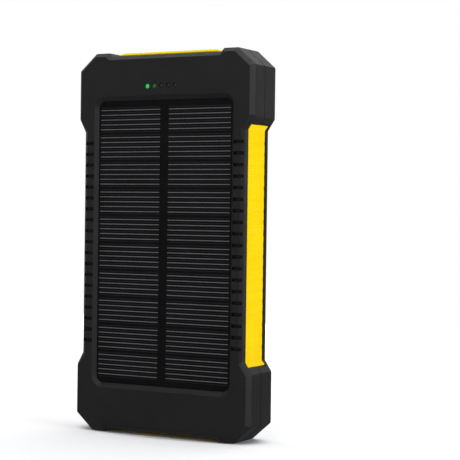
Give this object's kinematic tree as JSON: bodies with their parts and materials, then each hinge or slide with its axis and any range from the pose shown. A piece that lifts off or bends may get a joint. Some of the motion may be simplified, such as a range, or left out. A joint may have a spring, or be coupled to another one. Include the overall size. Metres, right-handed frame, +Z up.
{
  "type": "solar phone charger",
  "caption": "Rugged pocket power bank with a solar panel on its front, a ribbed side band, charge ports under a rubber cover at one end and a torch at the back.",
  "frame": {"origin": "centre of the bottom end, which the charger stands on, half way through its thickness", "axes": "+Z up along its length to the port end, -Y out of the solar panel, +X to the right as the panel is looked at"},
  "size_m": [0.075, 0.018, 0.142],
  "materials": {
    "case_black": "fine moulded grain, slightly worn edges",
    "frame_yellow": "satin moulded plastic",
    "cover_yellow": "soft matt rubber",
    "button_rubber": "matt rubber",
    "contact_plastic": "moulded connector plastic",
    "clear_plastic": "clear polished plastic",
    "solar_silicon": "dark monocrystalline silicon under resin, fine grey grid lines",
    "circuit_board": "green solder mask",
    "black_foam": "foam tape",
    "plated_steel": "nickel-plated steel",
    "chip_epoxy": "epoxy package",
    "ferrite": "ferrite",
    "capacitor_can": "plain can",
    "battery_foil": "laminated foil pouch",
    "reflector": "vacuum-metallised plastic",
    "torch_led": "phosphor under silicone",
    "indicator_led": "green, first one lit",
    "wire_red": "wire insulation",
    "wire_black": "wire insulation"
  },
  "bodies": {
    "case": {"front_shell": "case_black", "rear_shell": "case_black", "middle_frame": "frame_yellow", "cover_hinge_strip": "cover_yellow", "lanyard_pin": "plated_steel", "switch_body": "contact_plastic", "solar_cover": "clear_plastic", "solar_cells": "solar_silicon", "panel_adhesive": "black_foam", "solar_backplate": "circuit_board", "light_pipe": "clear_plastic", "main_board": "circuit_board", "controller_chip": "chip_epoxy", "converter_chip": "chip_epoxy", "inductor": "ferrite", "capacitor_1": "capacitor_can", "capacitor_2": "capacitor_can", "battery_cell_front": "battery_foil", "battery_cell_rear": "battery_foil", "battery_pad": "black_foam", "protection_board": "circuit_board", "solar_lead_red": "wire_red", "solar_lead_black": "wire_black", "battery_lead_red": "wire_red", "battery_lead_black": "wire_black", "torch_lens": "clear_plastic", "torch_reflector": "reflector", "torch_board": "circuit_board", "usb_a_port_left": "plated_steel", "usb_a_port_right": "plated_steel", "micro_usb_port": "plated_steel", "usb_a_tongue_left": "contact_plastic", "usb_a_tongue_right": "contact_plastic", "micro_usb_tongue": "contact_plastic", "indicator_led_1": "indicator_led", "indicator_led_2": "indicator_led", "indicator_led_3": "indicator_led", "indicator_led_4": "indicator_led", "indicator_led_5": "indicator_led", "torch_led_1": "torch_led", "torch_led_2": "torch_led", "torch_led_3": "torch_led", "torch_led_4": "torch_led", "torch_led_5": "torch_led", "torch_led_6": "torch_led", "case_screw_1": "plated_steel", "case_screw_2": "plated_steel", "case_screw_3": "plated_steel", "case_screw_4": "plated_steel"},
    "button": {"power_button": "button_rubber"},
    "plunger": {"switch_plunger": "button_rubber"},
    "cover": {"port_cover": "cover_yellow"}
  },
  "joints": [
    {"name": "button_press", "type": "slide", "parent": "case", "child": "button", "axis": [1, 0, 0], "range_m": [0, 0.0005], "stiffness_N_per_m": 600, "springref_m": -0.001},
    {"name": "plunger_press", "type": "slide", "parent": "case", "child": "plunger", "axis": [1, 0, 0], "range_m": [0, 0.0005]},
    {"name": "cover_hinge", "type": "hinge", "parent": "case", "child": "cover", "pos_m": [0, 0.00505, 0.142], "axis": [-1, 0, 0], "range_deg": [0, 115], "stiffness_Nm_per_rad": 0.0015}
  ],
  "couplings": [
    {"joint": "plunger_press", "follows": "button_press", "ratio": 1}
  ]
}
